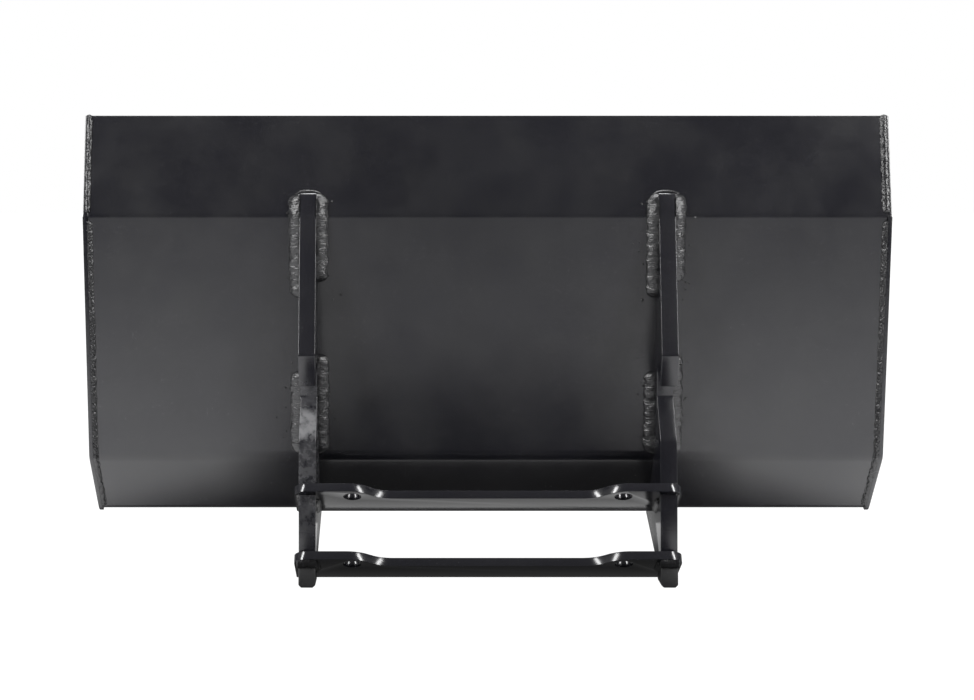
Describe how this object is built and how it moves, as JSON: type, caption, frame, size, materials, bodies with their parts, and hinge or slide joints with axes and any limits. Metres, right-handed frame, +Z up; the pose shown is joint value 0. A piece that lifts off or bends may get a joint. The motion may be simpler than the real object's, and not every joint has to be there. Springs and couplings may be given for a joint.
{
  "type": "loader bucket",
  "caption": "Black welded loader bucket with hook brackets, pinned crossbars and feet on its back, and a bevelled cutting edge in front.",
  "frame": {"origin": "middle of the bounding box's footprint, on the ground, with the bucket standing on its two feet and its cutting edge", "axes": "+X to the right seen from behind, along the bucket's width; +Y forward, from the hook brackets to the cutting edge; +Z up"},
  "size_m": [1.219, 0.7236, 0.7039],
  "materials": {
    "powder_coat": "gloss black powder coat over plate steel, with fine dust",
    "painted_weld": "gloss black powder coat over rippled weld beads"
  },
  "bodies": {
    "root": {"shell_sheet": "powder_coat", "side_plate_left": "powder_coat", "side_plate_right": "powder_coat", "cutting_edge": "powder_coat", "hook_plate_left": "powder_coat", "hook_plate_right": "powder_coat", "crossbar_upper": "powder_coat", "crossbar_lower": "powder_coat", "foot_left": "powder_coat", "foot_right": "powder_coat", "hook_weld_upper_outer_left": "painted_weld", "hook_weld_upper_inner_left": "painted_weld", "hook_weld_lower_outer_left": "painted_weld", "hook_weld_lower_inner_left": "painted_weld", "hook_weld_heel_left": "painted_weld", "hook_weld_upper_inner_right": "painted_weld", "hook_weld_upper_outer_right": "painted_weld", "hook_weld_lower_inner_right": "painted_weld", "hook_weld_lower_outer_right": "painted_weld", "hook_weld_heel_right": "painted_weld", "hook_weld_top_left": "painted_weld", "hook_weld_top_right": "painted_weld", "side_seam_weld_left": "painted_weld", "inner_seam_weld_left": "painted_weld", "lip_corner_weld_left": "painted_weld", "side_seam_weld_right": "painted_weld", "inner_seam_weld_right": "painted_weld", "lip_corner_weld_right": "painted_weld", "edge_weld_inner": "painted_weld", "edge_weld_under": "painted_weld", "crossbar_upper_weld_left": "painted_weld", "crossbar_upper_weld_right": "painted_weld", "crossbar_lower_weld_left": "painted_weld", "crossbar_lower_weld_right": "painted_weld", "foot_weld_left": "painted_weld", "foot_weld_right": "painted_weld"}
  },
  "joints": []
}
